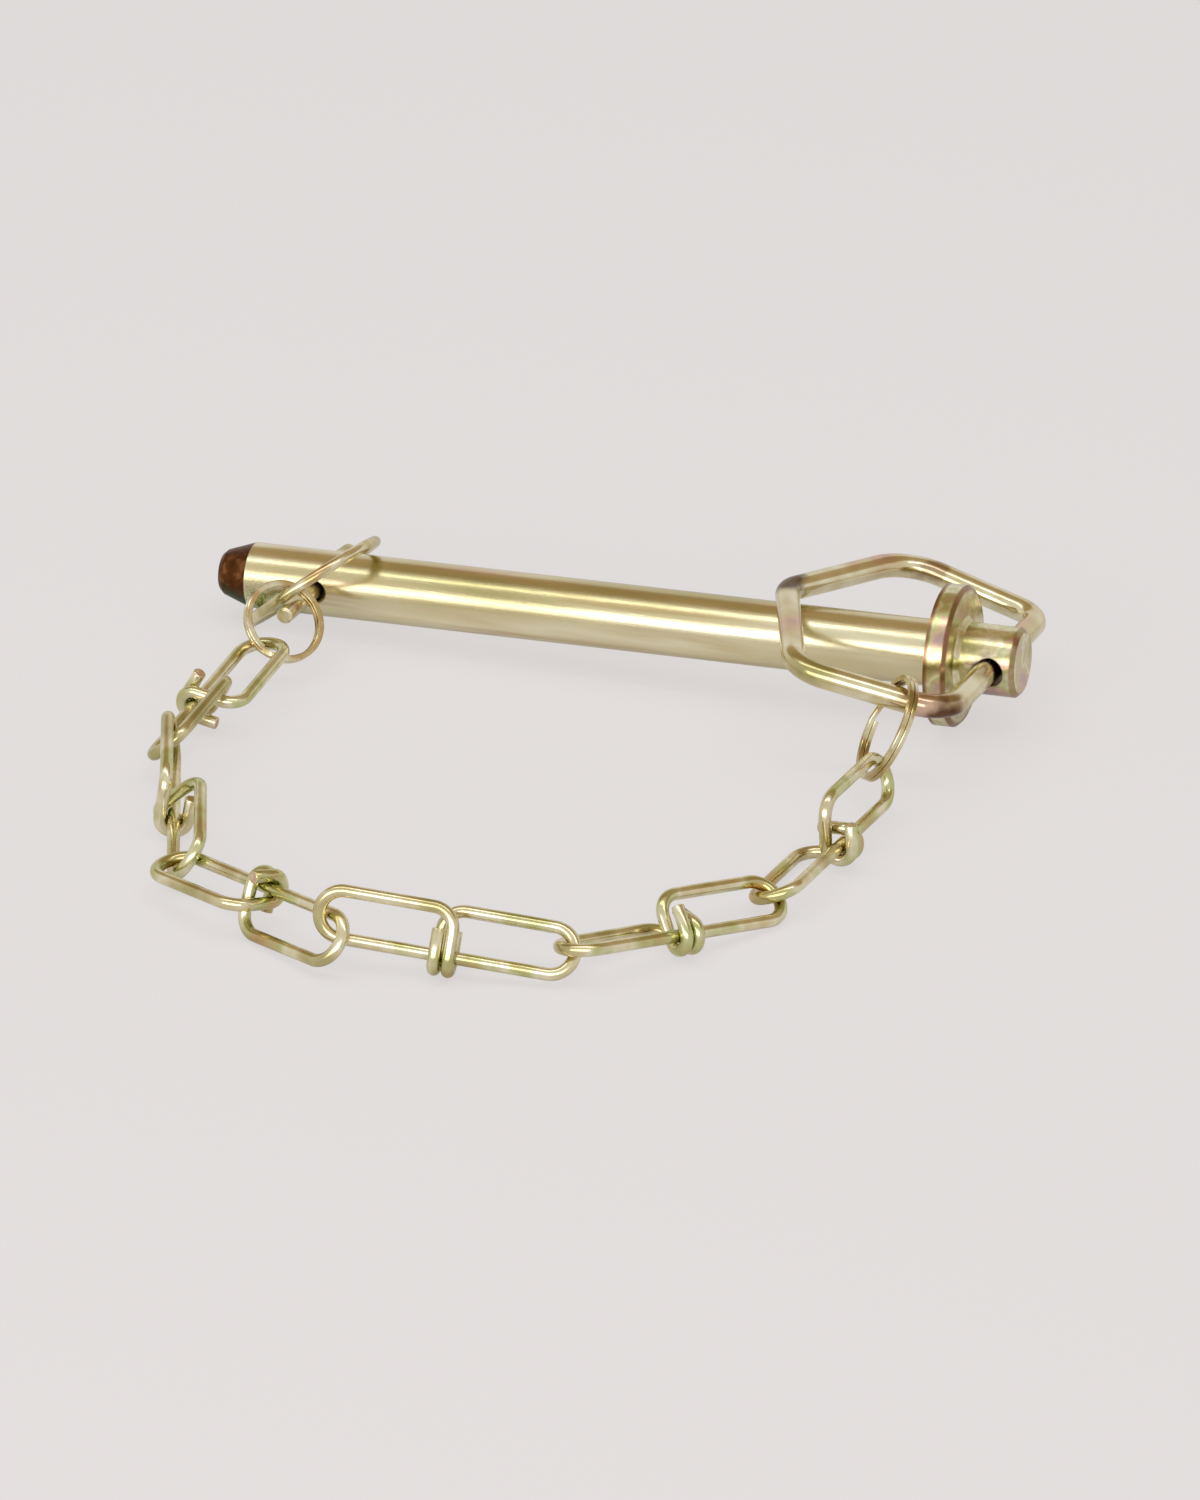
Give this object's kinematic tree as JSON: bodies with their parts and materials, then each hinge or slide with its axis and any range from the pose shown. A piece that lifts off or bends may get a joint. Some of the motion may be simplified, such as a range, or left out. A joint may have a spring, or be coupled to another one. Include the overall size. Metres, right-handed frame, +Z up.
{
  "type": "hitch pin",
  "caption": "Collared steel hitch pin with a folding pull handle, a cross locking pin with its ring, and a tether chain joined by split rings.",
  "frame": {"origin": "centre of the collar's bearing face, on the axis of the round shank", "axes": "+X runs from the nose to the head along the shank, which lies tipped by 2.1 degrees with its head up; +Z is up; +Y is horizontal, away from the tether chain"},
  "size_m": [0.2402, 0.2456, 0.0412],
  "materials": {
    "plated_pin": "turned steel, yellow chromate over zinc, with greenish and pinkish tints",
    "plated_rod": "drawn rod, bent and resistance-closed, yellow chromate over zinc",
    "plated_wire": "bent spring wire, yellow chromate over zinc",
    "plated_ring": "coiled flat wire, thin brownish-silver chromate",
    "plated_link": "bent and twisted wire, olive-gold chromate over zinc"
  },
  "bodies": {
    "hitch_pin": {"hitch_pin": "plated_pin"},
    "locking_pin": {"locking_pin": "plated_pin"},
    "handle": {"handle": "plated_rod"},
    "locking_ring": {"locking_ring": "plated_wire"},
    "split_ring_small": {"split_ring_small": "plated_ring"},
    "split_ring_large": {"split_ring_large": "plated_ring"},
    "chain_link_1": {"chain_link_1": "plated_link"},
    "chain_link_2": {"chain_link_2": "plated_link"},
    "chain_link_3": {"chain_link_3": "plated_link"},
    "chain_link_4": {"chain_link_4": "plated_link"},
    "chain_link_5": {"chain_link_5": "plated_link"},
    "chain_link_6": {"chain_link_6": "plated_link"}
  },
  "joints": [
    {"name": "handle_hinge", "type": "hinge", "parent": "hitch_pin", "child": "handle", "pos_m": [0.01619, 0, 0.00059], "axis": [0.0707, 0.995, -0.0698], "range_deg": [0, 335]},
    {"name": "locking_pin_slide", "type": "slide", "parent": "hitch_pin", "child": "locking_pin", "axis": [0.005, 0.9907, -0.1356], "range_m": [-0.0005, 0.0072]},
    {"name": "locking_ring_hinge", "type": "hinge", "parent": "locking_pin", "child": "locking_ring", "pos_m": [-0.186, 0.01565, -0.00897], "axis": [0.7651, 0.0836, 0.6384], "range_deg": [-0.4, 0.2]},
    {"name": "link_5_swivel", "type": "hinge", "parent": "chain_link_6", "child": "chain_link_5", "pos_m": [-0.01439, -0.12517, -0.01489], "axis": [0, 0, 1], "range_deg": [-4, 36]},
    {"name": "link_1_swivel", "type": "hinge", "parent": "chain_link_2", "child": "chain_link_1", "pos_m": [-0.19359, -0.10596, -0.01051], "axis": [0, 0, 1], "range_deg": [-4.5, 6.5]},
    {"name": "large_ring_swivel", "type": "hinge", "parent": "handle", "child": "split_ring_large", "pos_m": [-0.00288, -0.03986, 0.00737], "axis": [0, 0, 1], "range_deg": [-2.26, 0.17]},
    {"name": "small_ring_swivel", "type": "hinge", "parent": "chain_link_1", "child": "split_ring_small", "pos_m": [-0.18544, -0.03956, -0.00984], "axis": [0, 0, 1], "range_deg": [-0.17, 2.17]},
    {"name": "link_6_swivel", "type": "hinge", "parent": "split_ring_large", "child": "chain_link_6", "pos_m": [0.00046, -0.06078, -0.00813], "axis": [0, 0, 1], "range_deg": [-19.49, 2.18]},
    {"name": "link_4_swivel", "type": "hinge", "parent": "chain_link_5", "child": "chain_link_4", "pos_m": [-0.05086, -0.17929, -0.01194], "axis": [0, 0, 1], "range_deg": [-18.87, 2.11]},
    {"name": "link_3_swivel", "type": "hinge", "parent": "chain_link_4", "child": "chain_link_3", "pos_m": [-0.1105, -0.1937, -0.0104], "axis": [0, 0, 1], "range_deg": [-1.29, 1.86]},
    {"name": "link_2_swivel", "type": "hinge", "parent": "chain_link_3", "child": "chain_link_2", "pos_m": [-0.171, -0.16355, -0.01457], "axis": [0, 0, 1], "range_deg": [-6.07, 4.21]}
  ],
  "couplings": [
    {"joint": "large_ring_swivel", "follows": "locking_pin_slide", "rad_per_m": -5.4255},
    {"joint": "small_ring_swivel", "follows": "locking_pin_slide", "rad_per_m": 5.2088},
    {"joint": "link_6_swivel", "follows": "link_5_swivel", "ratio": -0.54074},
    {"joint": "link_4_swivel", "follows": "link_5_swivel", "ratio": -0.52349},
    {"joint": "link_3_swivel", "follows": "link_1_swivel", "ratio": 0.28249},
    {"joint": "link_2_swivel", "follows": "link_1_swivel", "ratio": -0.93017}
  ]
}
